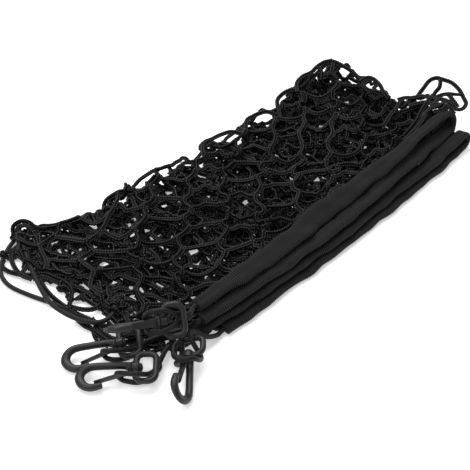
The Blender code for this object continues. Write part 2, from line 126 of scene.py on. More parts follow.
# Places and sizes in metres
for name, x, y, z, size, watts in (("soft_box_above", 0.25, 0.55, 1.25, 1.3, 20.0),
                                   ("soft_box_left", -1.1, 0.1, 1.0, 0.9, 5.0)):
    light = bpy.data.lights.new(name, "AREA")
    light.size = size
    light.energy = watts
    lamp = bpy.data.objects.new(name, light)
    lamp.location = (x, y, z)
    lamp.rotation_euler = (-Vector((x, y, z))).to_track_quat("-Z", "Y").to_euler()
    bpy.context.collection.objects.link(lamp)


# ---------------------------------------------------------------- the elastic cord
# One 4 mm round elastic, a rubber core in a plaited polyester cover, runs in a loop through both sleeves and
# across both short sides. Where it turns a corner it comes out of the sleeve and is hitched to a hook.


def smooth_through(rows, x):
    """A table read at x by a smooth curve; its first column holds the rising x values."""
    rows = np.asarray(rows, float)
    x = np.clip(np.asarray(x, float), rows[0, 0], rows[-1, 0])
    i = np.clip(np.searchsorted(rows[:, 0], x, side="right") - 1, 0, len(rows) - 2)
    t = ((x - rows[i, 0]) / (rows[i + 1, 0] - rows[i, 0]))[..., None]
    before, after = rows[np.maximum(i - 1, 0)], rows[np.minimum(i + 2, len(rows) - 1)]
    return (before * (-t + 2 * t ** 2 - t ** 3) + rows[i] * (2 - 5 * t ** 2 + 3 * t ** 3)
            + rows[i + 1] * (t + 4 * t ** 2 - 3 * t ** 3) + after * (t ** 3 - t ** 2)) / 2


def smooth_route(points, step):
    """Points about `step` apart on a smooth curve through the given points."""
    rows = np.array([(k, *p) for k, p in enumerate(points)])
    fine = smooth_through(rows, np.linspace(0, len(points) - 1, 12 * (len(points) - 1) + 1))[:, 1:]
    lengths = np.concatenate([[0], np.cumsum(np.linalg.norm(np.diff(fine, axis=0), axis=1))])
    wanted = np.linspace(0, lengths[-1], max(2, round(lengths[-1] / step)) + 1)
    return np.stack([np.interp(wanted, lengths, fine[:, c]) for c in range(3)], axis=1)


def unit(vectors):
    return vectors / np.maximum(np.linalg.norm(vectors, axis=-1, keepdims=True), 1e-12)


def directions(line):
    """The direction of a line of points at each of them."""
    return unit(np.gradient(line, axis=0))


def frames(line, twist=0.0, up=(0.0, 0.0, 1.0)):
    """Unit vectors across a line and out of its flat side, turned about the line by `twist` radians."""
    along = directions(line)
    across = np.cross(np.broadcast_to(up, line.shape), along)
    steep = np.linalg.norm(across, axis=1) < 0.25
    across[steep] = np.cross((0.6, -0.8, 0.0), along[steep])
    for i in range(1, len(across)):
        across[i] = unit(0.45 * unit(across[i]) + 0.55 * unit(across[i - 1]))
    across = unit(across - along * (across * along).sum(1, keepdims=True))
    upward = np.cross(along, across)
    turned = np.broadcast_to(twist, len(line))[:, None]
    return (across * np.cos(turned) + upward * np.sin(turned),
            upward * np.cos(turned) - across * np.sin(turned))


def math_node(tree, operation, *values):
    """What a math node makes of these values or outputs."""
    return add(tree, "ShaderNodeMath", dict(enumerate(values)), operation=operation).outputs[0]


def sweep_tree():
    """Geometry Nodes that skin lines of points; their attributes give each section's half width and height.

    Waist draws the section in at its middle, so that it shows two ridges. Bead swells it once in every few
    rings, and slant shifts the swell from the middle to the ridges' outsides. The attributes beat, in beads
    along the line, and section, across it, carry the pattern of the yarn.
    """
    tree = bpy.data.node_groups.new("sweep", "GeometryNodeTree")
    for name, kind, default in (("Geometry", "NodeSocketGeometry", None), ("Step", "NodeSocketFloat", 0.001),
                                ("Sides", "NodeSocketInt", 8), ("Waist", "NodeSocketFloat", 1.0),
                                ("Bead", "NodeSocketFloat", 0.0), ("Rings", "NodeSocketFloat", 4.0),
                                ("Slant", "NodeSocketFloat", 0.0), ("Finish", "NodeSocketMaterial", None)):
        socket = tree.interface.new_socket(name, in_out="INPUT", socket_type=kind)
        if default is not None:
            socket.default_value = default
    tree.interface.new_socket("Geometry", in_out="OUTPUT", socket_type="NodeSocketGeometry")
    given = add(tree, "NodeGroupInput").outputs

    def calc(operation, *values):
        return math_node(tree, operation, *values)

    def vector(operation, *values, **named):
        links = {**dict(enumerate(values)), **named}
        return add(tree, "ShaderNodeVectorMath", links, operation=operation).outputs[0]

    def stored(geometry, name, kind, value):
        inputs = {"Geometry": geometry, "Name": name, "Value": value}
        return add(tree, "GeometryNodeStoreNamedAttribute", inputs, data_type=kind).outputs[0]

    def read(name, kind):
        return add(tree, "GeometryNodeInputNamedAttribute", {"Name": name}, data_type=kind).outputs[0]

    lines = add(tree, "GeometryNodeMeshToCurve", {"Mesh": given["Geometry"]}).outputs[0]
    smooth = add(tree, "GeometryNodeCurveSplineType", {"Curve": lines}, spline_type="CATMULL_ROM").outputs[0]
    spaced = add(tree, "GeometryNodeResampleCurve", {"Curve": smooth, "Length": given["Step"]}, mode="LENGTH")
    ring_number = add(tree, "GeometryNodeInputIndex").outputs[0]
    route = stored(spaced.outputs[0], "beat", "FLOAT", calc("DIVIDE", ring_number, given["Rings"]))
    here = add(tree, "GeometryNodeInputPosition").outputs[0]
    route = stored(route, "centre", "FLOAT_VECTOR", here)
    circle = {"Resolution": given["Sides"], "Radius": 1.0}
    ring = add(tree, "GeometryNodeCurvePrimitiveCircle", circle).outputs[0]
    ring = stored(ring, "section", "FLOAT_VECTOR", here)
    inputs = {"Curve": route, "Profile Curve": ring, "Fill Caps": True}
    skin = add(tree, "GeometryNodeCurveToMesh", inputs).outputs[0]
    section = add(tree, "ShaderNodeSeparateXYZ", {0: read("section", "FLOAT_VECTOR")}).outputs
    side = calc("ABSOLUTE", section[0])
    phase = calc("MULTIPLY_ADD", side, given["Slant"], calc("MULTIPLY", read("beat", "FLOAT"), 2 * math.pi))
    swell = calc("MULTIPLY_ADD", calc("COSINE", phase), given["Bead"], 1.0)
    ridge = calc("MULTIPLY_ADD", calc("SUBTRACT", 1.0, given["Waist"]),
                 calc("MULTIPLY", side, 1.56), given["Waist"])     # full height at 0.64 of the half width
    wide = vector("SCALE", read("across", "FLOAT_VECTOR"), Scale=calc("MULTIPLY", section[0], swell))
    high = vector("SCALE", read("upward", "FLOAT_VECTOR"),
                  Scale=calc("MULTIPLY", calc("MULTIPLY", section[1], ridge), swell))
    spot = vector("ADD", vector("ADD", wide, high), read("centre", "FLOAT_VECTOR"))
    skin = add(tree, "GeometryNodeSetPosition", {"Geometry": skin, "Position": spot}).outputs[0]
    smooth_skin = add(tree, "GeometryNodeSetShadeSmooth", {"Geometry": skin}).outputs[0]
    whole = add(tree, "GeometryNodeRealizeInstances", {"Geometry": smooth_skin}).outputs[0]
    inputs = {"Geometry": whole, "Material": given["Finish"]}
    finished = add(tree, "GeometryNodeSetMaterial", inputs).outputs[0]
    add(tree, "NodeGroupOutput", {0: finished})
    return tree


SWEEP = sweep_tree()


def swept(name, lines, material, **inputs):
    """One plain mesh swept along lines; a line is its points and their half width and half height vectors."""
    points, edges, across, upward = [], [], [], []
    for line, wide, high in lines:
        start = len(points)
        points += [tuple(p) for p in line]
        across += [tuple(v) for v in wide]
        upward += [tuple(v) for v in high]
        edges += [(start + i, start + i + 1) for i in range(len(line) - 1)]
    mesh = bpy.data.meshes.new(name + "_lines")
    mesh.from_pydata(points, edges, [])
    for attribute, values in (("across", across), ("upward", upward)):
        layer = mesh.attributes.new(attribute, "FLOAT_VECTOR", "POINT")
        layer.data.foreach_set("vector", np.asarray(values, np.float32).ravel())
    guide = bpy.data.objects.new(name + "_lines", mesh)
    bpy.context.collection.objects.link(guide)
    modifier = guide.modifiers.new("Sweep", "NODES")
    modifier.node_group = SWEEP
    sockets = {s.name: s.identifier for s in SWEEP.interface.items_tree if s.in_out == "INPUT"}
    for socket, value in {**inputs, "Finish": material}.items():
        modifier[sockets[socket]] = value
    evaluated = guide.evaluated_get(bpy.context.evaluated_depsgraph_get())
    skin = bpy.data.meshes.new_from_object(evaluated)
    skin.name = name
    bpy.data.objects.remove(guide)
    bpy.data.meshes.remove(mesh)
    for spare in ("centre", "across", "upward"):
        if spare in skin.attributes:
            skin.attributes.remove(skin.attributes[spare])
    made = bpy.data.objects.new(name, skin)
    bpy.context.collection.objects.link(made)
    return made


# Polyester plait over rubber: dull black with a low sheen.
elastic, _, elastic_shader = new_material("plaited_polyester", "#131314", 0.5)
elastic_shader.inputs["Specular IOR Level"].default_value = 0.2
elastic_shader.inputs["Sheen Weight"].default_value = 0.05
elastic_shader.inputs["Sheen Roughness"].default_value = 0.5

CORD = 4.0
CORD_RING = 0.0012              # metres from one ring of the skin to the next
ROUTE_STEP = 2.5                # between the points of a route
TIGHTEST = 4.0                  # the radius of the tightest bend that the elastic takes


OBSTACLES = []                  # points along the elastic in millimetres, which the netting settles around


def eased(route, least):
    """The route with its bends tighter than `least` rounded off; its ends stay where they are."""
    for _ in range(40):
        bend = route[:-2] + route[2:] - 2 * route[1:-1]
        spacing = np.linalg.norm(route[2:] - route[:-2], axis=1) / 2
        tight = np.linalg.norm(bend, axis=1) > spacing ** 2 / least
        route[1:-1] += 0.2 * bend * (np.convolve(tight, (1, 1, 1), "same") > 0)[:, None]
    return route


def elastic_piece(name, points):
    """One visible stretch of the elastic, which goes back into the net or a sleeve at its far end."""
    route = eased(smooth_route(points, ROUTE_STEP * MM), TIGHTEST * MM)
    across, upward = frames(route)
    radius = CORD / 2 * MM
    OBSTACLES.extend(route / MM + (*ORIGIN_AT, 0))
    made = swept(name + "_elastic", [(route, across * radius, upward * radius)], elastic,
                 Step=CORD_RING, Sides=16)
    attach(made, "folded_net")
    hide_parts(name)
    return made


SIDE_CORDS = (
    ("side_cord_a", 0.292, ((-109, -52, 2.6), (-114, -34, 2.6), (-118, -14, 3), (-119, 6, 3.6),
        (-123, 16, 4.6), (-130, 17, 6.2), (-136, 9.5, 7.4), (-142, 4.5, 8), (-151, 3, 8), (-159, 8, 7.5),
        (-165, 22, 7), (-167, 40, 7), (-164, 58, 7), (-149, 90, 6), (-136, 113, 6), (-125, 130, 8),
        (-119, 138, 9), (-112, 136, 8), (-106, 127, 6), (-100, 116, 5))),
    ("side_cord_b", 0.21, ((-149, -16, 3), (-153, 2, 2.3), (-157, 26, 2.3), (-161, 50, 2.3),
        (-167, 74, 2.3), (-170, 96, 2.3), (-164, 113, 2.3), (-150, 125, 2.3), (-134, 133, 2.5),
        (-120, 136, 2.6), (-108, 128, 2.6), (-100, 118, 2.6))),
)
for cord_name, cord_length, points in SIDE_CORDS:
    elastic_piece(cord_name, [placed(p) for p in points])

# Each run of a sleeve from its mouth to the far end: x, centre y, centre z, half width, half height, tilt
RUN_1 = ((-108, -53.5, 27.2, 5.6, 3.9, 8), (-50, -57.0, 26.8, 7.5, 3.0, 15), (0, -58.5, 27.0, 8.5, 2.7, 22),
         (50, -57.5, 27.8, 9.0, 2.6, 28), (100, -58.5, 28.2, 7.6, 3.0, 24), (150, -59.5, 29.4, 6.2, 3.1, 12),
         (190, -57.0, 31.2, 5.0, 3.0, 4), (226, -59.0, 31.6, 3.8, 3.0, 0))
RUN_2 = ((-112, -60.5, 19.2, 5.6, 3.6, 0), (-50, -66.0, 18.7, 6.3, 3.3, 0), (0, -68.5, 18.6, 6.3, 3.2, 0),
         (50, -71.0, 19.2, 6.3, 3.2, 0), (100, -69.0, 19.8, 6.6, 3.2, 0), (150, -67.5, 20.0, 7.0, 3.2, 0),
         (190, -65.0, 18.8, 7.2, 3.0, 0), (226, -62.0, 16.6, 7.0, 3.0, 0))
RUN_3 = ((-130, -57.5, 6.2, 5.6, 3.6, 0), (-97, -64.5, 11.4, 6.0, 3.3, 0), (-50, -69.0, 11.3, 6.3, 3.3, 0),
         (0, -72.0, 11.2, 6.3, 3.3, 0), (50, -75.5, 11.1, 6.3, 3.3, 0), (100, -74.5, 11.1, 6.3, 3.3, 0),
         (150, -75.5, 11.1, 6.3, 3.3, 0), (190, -76.0, 12.2, 6.2, 3.2, 0), (228, -76.0, 15.6, 6.0, 3.3, 0))
RUN_4 = ((-96, -71.5, 4.2, 5.6, 3.7, 0), (-50, -74.0, 4.2, 6.3, 3.4, 0), (0, -76.0, 4.2, 6.3, 3.4, 0),
         (50, -78.5, 4.2, 6.3, 3.4, 0), (100, -79.0, 4.2, 6.3, 3.4, 0), (150, -79.5, 4.2, 6.3, 3.4, 0),
         (190, -78.5, 4.2, 6.3, 3.4, 0), (228, -76.5, 4.2, 6.2, 3.4, 0))
MOUTH_DEPTH = 12.0

# Where each hook lies: name, boss x, y, z, heading, pitch, hook roll, eye roll
HOOKS = (("hook_1", -141.6, -50.4, 32.0, -40.1, 2.0, -40.4, 49.6),
         ("hook_2", -166.2, -26.2, 11.4, -42.0, 5.5, 16.0, 16.0),
         ("hook_3", -176.8, -53.4, 11.4, -51.5, 5.0, 14.0, 12.0),
         ("hook_4", -142.0, -75.0, 11.4, 40.6, 10.0, -125.4, -21.0))
HOOK_LENGTH = 46.2              # from the boss's middle to the outside of the bend


def hook_frame(x, y, z, heading, pitch, roll):
    """The matrix at a boss: local X towards the eye, local Y towards the spine's side or across the eye."""
    turned = (Matrix.Rotation(math.radians(heading), 4, "Z") @ Matrix.Rotation(math.radians(-pitch), 4, "Y")
              @ Matrix.Rotation(math.radians(roll), 4, "X"))
    return Matrix.Translation(placed((x, y, z))) @ turned


def local(distance, offset, across=0.0):
    """A point of a hook, told by its distance from the bend's outside, in the boss's own axes."""
    return Vector((distance - HOOK_LENGTH, offset, across)) * MM


# The hitch around hooks 1 and 4 in their eyes' own axes, as distance, offset and height: both legs pass the
# eye's end bar, go through the eye and around the hook's bar. On hooks 2 and 3 it has slid to one side, over
# and under the tongue, and cuts into the tongue's root; their points are in the tables' millimetres.
HITCH_1 = ((67.5, 2.7, -6.0), (60.8, 3.1, -5.3), (54.2, 5.0, 0.0), (48.5, 8.2, 3.8), (43.0, 9.0, 4.4),
           (38.0, 8.8, 3.2), (34.2, 7.6, 0.0), (32.8, 6.4, -5.0), (32.0, 3.4, -8.0), (31.8, 0.0, -8.8),
           (32.0, -3.4, -8.0), (32.8, -6.2, -5.0), (34.6, -7.2, -0.5), (39.0, -7.5, 2.4), (44.0, -7.0, 4.2),
           (49.5, -5.4, 3.6), (54.2, -3.6, 0.0), (60.8, -1.2, -5.3), (67.5, 0.6, -6.0))
HITCH_2 = ((-147.5, -36.5, 6.5), (-151.5, -36.0, 5.5), (-156.5, -36.0, 6.0), (-162.0, -36.5, 8.5),
           (-167.0, -37.0, 12.5), (-171.5, -36.5, 15.2), (-175.0, -34.5, 16.0), (-178.0, -31.0, 15.8),
           (-180.0, -27.0, 14.5), (-180.5, -22.0, 11.5), (-179.5, -19.5, 8.0), (-179.0, -19.5, 4.4),
           (-178.5, -23.5, 3.2), (-176.0, -28.5, 3.0), (-172.0, -32.5, 3.0), (-166.5, -35.5, 3.0),
           (-160.5, -36.5, 3.0), (-154.0, -36.5, 3.4), (-149.0, -34.5, 4.0))
HITCH_3 = ((-151.5, -56.5, 5.5), (-158.5, -59.5, 5.5), (-165.0, -62.0, 6.0), (-170.5, -63.5, 8.0),
           (-176.5, -65.0, 12.0), (-181.5, -64.0, 15.2), (-185.0, -61.2, 16.2), (-188.0, -57.2, 16.2),
           (-190.0, -52.4, 15.2), (-190.3, -47.2, 12.0), (-189.4, -44.3, 8.2), (-188.4, -44.6, 4.4),
           (-187.2, -49.0, 3.2), (-185.0, -53.5, 3.0), (-182.0, -58.5, 3.0), (-176.5, -62.0, 3.0),
           (-171.0, -63.5, 3.0), (-164.0, -62.5, 3.2), (-158.5, -60.5, 3.6))
HITCH_4 = ((67.5, -2.7, 6.0), (60.8, -3.1, 5.3), (54.2, -5.2, 0.0), (48.0, -8.2, -4.8), (43.5, -8.8, -4.0),
           (39.8, -8.8, 1.5), (37.8, -7.2, 6.6), (36.8, -3.0, 9.4), (36.6, 2.0, 9.6), (37.4, 6.4, 7.0),
           (39.4, 8.6, 2.0), (43.0, 8.8, -3.6), (48.0, 8.2, -4.8), (54.2, 5.2, 0.0), (60.8, 3.1, 5.3),
           (67.5, 2.7, 6.0))
LEGS = {
    "hook_1": (RUN_1, ((-116.0, -55.5, 29.0),), ((-113.5, -49.0, 19.0), (-113.5, -42.5, 10.0))),
    "hook_2": (RUN_2, ((-136.0, -43.5, 9.5), (-123.0, -52.5, 12.0)),
               ((-147.5, -28.0, 5.0), (-148.5, -21.0, 5.0))),
    "hook_3": (RUN_3, ((-144.5, -53.5, 5.5), (-138.5, -53.0, 5.5)),
               ((-154.5, -54.0, 4.5), (-152.5, -47.0, 4.0))),
    "hook_4": (RUN_4, ((-117.0, -69.8, 10.5), (-106.0, -72.0, 5.0)),
               ((-133.0, -56.5, 15.0), (-136.0, -50.0, 9.5))),
}


def into_mouth(run):
    """The last points of a leg: just outside a sleeve's mouth, in it and near the bottom of its pocket."""
    mouth, further = (Vector(smooth_through(run, run[0][0] + at)[:3]) for at in (0.0, MOUTH_DEPTH))
    inward = (further - mouth).normalized()
    return [mouth + inward * at for at in (-CORD, 1.0, MOUTH_DEPTH - 3.0)]


for hook, hitch, in_eye in ((HOOKS[0], HITCH_1, True), (HOOKS[1], HITCH_2, False), (HOOKS[2], HITCH_3, False),
                            (HOOKS[3], HITCH_4, True)):
    hook_name, *place = hook
    eye_place = hook_frame(*place[:5], place[6])
    loop = [eye_place @ local(*p) if in_eye else placed(p) for p in hitch]
    run, to_sleeve, onward = LEGS[hook_name]
    start = [placed(p) for p in (*to_sleeve, *into_mouth(run))]
    points = start[::-1] + loop + [placed(p) for p in onward]
    route = eased(smooth_route(points, ROUTE_STEP * MM), TIGHTEST * MM)
    elastic_piece(hook_name + "_hitch", points)


# ---------------------------------------------------------------- the swivel snap hooks
# Each hook is nylon: a D-shaped eye with a collar, and a bent hook whose shank snaps through the collar
# behind a mushroom head, so that it turns. A thin tongue moulded on its neck springs against the nose.

# Glass-filled nylon 6, moulded: dark grey, satin, with a faint grain and soft highlights.
nylon, nylon_tree, nylon_shader = new_material("moulded_nylon", "#1e1e1f", 0.4)
nylon_shader.inputs["Specular IOR Level"].default_value = 0.35
grain = add(nylon_tree, "ShaderNodeTexNoise",
            {"Vector": add(nylon_tree, "ShaderNodeTexCoord").outputs["Object"],
             "Scale": 900.0, "Detail": 3.0})
add(nylon_tree, "ShaderNodeBump", {"Height": grain.outputs["Fac"], "Strength": 0.12, "Distance": 0.0002})
nylon_tree.links.new(nylon_tree.nodes["Bump"].outputs[0], nylon_shader.inputs["Normal"])

# The hook's bar from its nose, around the bend, along the spine to the neck: distance from the bend's
# outside, offset towards the spine's side, half thickness in the hook's plane, half thickness across it
HOOK_BAR = ((21.4, -14.2, 1.5, 1.8), (21.0, -14.3, 2.3, 2.6), (18.4, -15.0, 2.6, 3.0),
            (13.5, -15.9, 2.9, 3.1), (9.0, -15.0, 3.2, 2.9), (5.4, -12.0, 3.5, 2.5), (3.6, -7.6, 3.6, 2.2),
            (4.9, -3.0, 3.4, 2.5), (8.6, 0.6, 3.1, 3.2), (14.0, 2.1, 2.9, 3.1), (25.0, 2.3, 2.8, 3.0),
            (36.0, 2.2, 2.8, 3.1), (40.2, 1.4, 3.2, 3.8), (42.6, 0.3, 4.2, 4.5))
BAR_SIDES = 24
BAR_STEPS = 6                   # sections between two rows of the table
SEAM_RISE = 0.04                # the parting line's height as a share of the radius
BOSS_LENGTH = 5.3
BOSS_RADIUS = 4.9
BORE_RADIUS = 2.6
SHANK_RADIUS = 2.3
HEAD_RADIUS = 3.6
PLAY = 0.3
EYE_BAR_RADIUS = 2.45
EYE_HALF_WIDTH = 11.95
EYE_LENGTH = 15.2
EYE_CORNER = 5.5
GATE_TIP = (15.0, -11.9)
GATE_ROOT = (38.6, -4.6)


def ring(bm, centre, wide, high, sides=BAR_SIDES, seam=SEAM_RISE):
    """A round or oval section with a faint parting line at both ends of its width."""
    made = []
    for i in range(sides):
        angle = 2 * math.pi * i / sides
        swell = 1 + seam * (i % (sides // 2) == 0)
        made.append(bm.verts.new(centre + wide * (swell * math.cos(angle)) + high * math.sin(angle)))
    return made


def skin_rings(bm, rings, closed=False):
    count = len(rings[0])
    for a, b in list(zip(rings, rings[1:])) + [(rings[-1], rings[0])] * closed:
        for i in range(count):
            bm.faces.new((a[i], a[(i + 1) % count], b[(i + 1) % count], b[i]))
    if not closed:
        bm.faces.new(rings[0][::-1])
        bm.faces.new(rings[-1])


def hook_piece(name, bm, place, body, node):
    """A finished moulding with its place in its mesh."""
    bmesh.ops.transform(bm, matrix=place, verts=bm.verts)
    bmesh.ops.recalc_face_normals(bm, faces=bm.faces)
    mesh = bpy.data.meshes.new(name)
    bm.to_mesh(mesh)
    bm.free()
    mesh.shade_smooth()
    mesh.set_sharp_from_angle(angle=math.radians(38))
    mesh.materials.append(nylon)
    made = bpy.data.objects.new(name, mesh)
    bpy.context.collection.objects.link(made)
    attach(made, body)
    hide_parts(node)
    return made


def hook_body():
    """The bent bar, the shank through the collar and the mushroom head."""
    bm = bmesh.new()
    up = Vector((0, 0, MM))
    rows = smooth_through([(k, *row) for k, row in enumerate(HOOK_BAR)],
                          np.linspace(0, len(HOOK_BAR) - 1, BAR_STEPS * (len(HOOK_BAR) - 1) + 1))[:, 1:]
    rings = []
    centres = [local(*row[:2]) for row in rows]
    for i, row in enumerate(rows):
        ahead, behind = centres[min(i + 1, len(rows) - 1)], centres[max(i - 1, 0)]
        direction = (ahead - behind).normalized() if i + 1 < len(rows) else Vector((1, 0, 0))
        rings.append(ring(bm, centres[i], Vector((-direction.y, direction.x, 0)) * row[2] * MM, up * row[3]))
    flange = HOOK_LENGTH - BOSS_LENGTH / 2 - PLAY
    head = HOOK_LENGTH + BOSS_LENGTH / 2 + PLAY
    turned = ((flange - 0.3, 4.7), (flange, 4.5), (flange, SHANK_RADIUS), (head, SHANK_RADIUS),
              (head, HEAD_RADIUS - 0.2), (head + 0.25, HEAD_RADIUS), (head + 0.9, HEAD_RADIUS - 0.1),
              (head + 1.6, HEAD_RADIUS - 0.7), (head + 2.1, HEAD_RADIUS - 1.6),
              (head + 2.4, HEAD_RADIUS - 2.8))
    for distance, radius in turned:
        rings.append(ring(bm, local(distance, 0), Vector((0, radius, 0)) * MM, up * radius, seam=0))
    skin_rings(bm, rings)
    return bm


def gate():
    """The spring tongue: a thin rounded blade, wider at its root, that tucks in behind the nose."""
    bm = bmesh.new()
    root, tip = Vector((*GATE_ROOT, 0)), Vector((*GATE_TIP, 0))
    slope = (root - tip).normalized()
    side = Vector((-slope.y, slope.x, 0))
    rings = []
    # share of the way to the tip, half thickness, half width
    for share, thick, broad in ((-0.05, 0.5, 2.4), (-0.035, 1.0, 2.8), (0.0, 1.35, 3.0), (0.12, 1.15, 2.9),
                                (0.3, 0.9, 2.8), (0.6, 0.75, 2.7), (0.85, 0.7, 2.6), (0.95, 0.75, 2.6),
                                (0.985, 0.7, 2.5), (1.0, 0.4, 2.2)):
        at = root + (tip - root) * share
        section = []
        for k in range(16):
            angle = 2 * math.pi * (k + 0.5) / 16
            x, y = math.cos(angle), math.sin(angle)
            square = 1 / max(abs(x) ** 4 + abs(y) ** 4, 1e-9) ** 0.25
            section.append(bm.verts.new(local(at.x, at.y) + (side * (thick * x * square)
                                                            + Vector((0, 0, broad * y * square))) * MM))
        rings.append(section)
    skin_rings(bm, rings)
    return bm


def turned_collar(bm):
    """The collar around the shank, with a raised rim at both ends."""
    half = BOSS_LENGTH / 2
    outline = ((-half, BORE_RADIUS), (-half, BOSS_RADIUS - 0.3), (-half + 0.3, BOSS_RADIUS + 0.1),
               (-half + 0.9, BOSS_RADIUS + 0.1), (-half + 1.2, BOSS_RADIUS - 0.25),
               (half - 1.2, BOSS_RADIUS - 0.25), (half - 0.9, BOSS_RADIUS + 0.1),
               (half - 0.3, BOSS_RADIUS + 0.1), (half, BOSS_RADIUS - 0.3), (half, BORE_RADIUS))
    rings = [ring(bm, Vector((x, 0, 0)) * MM, Vector((0, r, 0)) * MM, Vector((0, 0, r)) * MM, 32, 0)
             for x, r in outline]
    skin_rings(bm, rings, closed=True)


def eye_bar(bm):
    """The D: a rounded rectangle of bar that starts and ends in the collar, a little thinner at its end."""
    half, corner, length = EYE_HALF_WIDTH, EYE_CORNER, EYE_LENGTH
    points = [(0.0, 3.2 + 0.4 * k) for k in range(4)]
    for cx, cy, begin in ((corner, half - corner, 180), (length - corner, half - corner, 90),
                          (length - corner, corner - half, 0), (corner, corner - half, -90)):
        points += [(cx + corner * math.cos(math.radians(begin - 11.25 * k)),
                    cy + corner * math.sin(math.radians(begin - 11.25 * k))) for k in range(9)]
        if begin == 90:
            points += [(length, (half - corner) * (1 - k / 5)) for k in range(1, 10)]
    points += [(0.0, -4.4 + 0.4 * k) for k in range(4)]
    line = [Vector((x, y, 0)) * MM for x, y in points]
    rings = []
    for i, point in enumerate(line):
        along = (line[min(i + 1, len(line) - 1)] - line[max(i - 1, 0)]).normalized()
        radius = EYE_BAR_RADIUS * (1 - 0.05 * math.exp(-(points[i][1] / 4) ** 2)) * MM
        rings.append(ring(bm, point, Vector((-along.y, along.x, 0)) * radius, Vector((0, 0, radius))))
    skin_rings(bm, rings)


for hook_name, *place in HOOKS:
    *spot, hook_roll, eye_roll = place
    turned = hook_frame(*spot, hook_roll)
    hook_piece(hook_name + "_moulding", hook_body(), turned, hook_name, hook_name + "_body")
    hook_piece(hook_name + "_tongue", gate(), turned, hook_name + "_tongue", hook_name + "_gate")
    eye = bmesh.new()
    turned_collar(eye)
    eye_bar(eye)
    hook_piece(hook_name + "_d_eye", eye, hook_frame(*spot, eye_roll), "folded_net", hook_name + "_eye")


# ---------------------------------------------------------------- the sleeves
# Each long side of the netting is caught in a flat woven tube of polyester, 19 mm wide, with a fine rib every
# 2 mm across it. The elastic inside draws it up, so it lies soft, creased along its length and puckered.

RIB_PITCH = 1.95
SLEEVE_SIDES = 28
SLEEVE_STEP = 3.0               # between the sections that are worked out along a sleeve
FULLNESS = 1.12                 # of its height, for the waist that the sweep draws in

# Woven polyester webbing: matt black-grey, a faint sheen, painted highlight on the ribs' crowns, painted
# shade between them.
webbing, webbing_tree, webbing_shader = new_material("ribbed_webbing", "#1e1e1f", 0.8)
webbing_shader.inputs["Specular IOR Level"].default_value = 0.12
webbing_shader.inputs["Sheen Weight"].default_value = 0.04
webbing_shader.inputs["Sheen Roughness"].default_value = 0.4


def pattern_wave(tree, slant):
    """The height of the yarn, 0 to 1: one crest for each beat, slanted from the middle to the sides."""
    section = add(tree, "ShaderNodeSeparateXYZ",
                  {0: add(tree, "ShaderNodeAttribute", attribute_name="section").outputs["Vector"]})
    side = math_node(tree, "ABSOLUTE", section.outputs[0])
    beat = add(tree, "ShaderNodeAttribute", attribute_name="beat").outputs["Fac"]
    phase = math_node(tree, "MULTIPLY_ADD", side, slant, math_node(tree, "MULTIPLY", beat, 2 * math.pi))
    return math_node(tree, "MULTIPLY_ADD", math_node(tree, "COSINE", phase), 0.5, 0.5), side


def paint_shade_and_highlight(tree, shader, height, dark, light, depth):
    """Painted shade between the yarns and a painted highlight on their crowns; the height is also a bump of
    `depth` metres.
    """
    colours = add(tree, "ShaderNodeMix", {"Factor": height}, data_type="RGBA")
    colours.inputs[6].default_value = (*srgb(dark), 1)
    colours.inputs[7].default_value = (*srgb(light), 1)
    tree.links.new(colours.outputs[2], shader.inputs["Base Color"])
    bump = add(tree, "ShaderNodeBump", {"Height": height, "Strength": 1.0, "Distance": depth})
    tree.links.new(bump.outputs[0], shader.inputs["Normal"])


# The sleeves' colour is painted: painted shade in the grooves between the ribs and a painted highlight on
# their crowns.
rib, _ = pattern_wave(webbing_tree, 0.0)
paint_shade_and_highlight(webbing_tree, webbing_shader, rib, "#060606", "#303031", 0.0003)


def sleeve_line(upper_run, lower_run, step):
    """Centres and half sizes from the upper mouth, around the turned-back end and back to the lower mouth."""
    parts = []
    for run in (upper_run, lower_run):
        count = round((run[-1][0] - run[0][0]) / step)
        parts.append(smooth_through(run, np.linspace(run[0][0], run[-1][0], count + 1)))
    top, bottom = parts[0][-1], parts[1][-1]
    radius = (top[2] - bottom[2]) / 2
    share = np.linspace(0, 1, max(4, round(math.pi * radius / step)) + 1)[1:-1, None]
    turn = top + (bottom - top) * share
    turn[:, 0] += radius * np.sin(math.pi * share[:, 0])
    turn[:, 2] = (top[2] + bottom[2]) / 2 + radius * np.cos(math.pi * share[:, 0])
    return np.concatenate([parts[0], turn, parts[1][::-1]])


def drift(distance, seed, waves):
    """A smooth random value of about -1 to 1 along a sleeve, from waves of these lengths in millimetres."""
    rng = np.random.default_rng(seed)
    phases = rng.uniform(0, 2 * math.pi, len(waves))
    total = sum(np.sin(2 * math.pi * distance / wave + phase) for wave, phase in zip(waves, phases))
    return total / len(waves) ** 0.5


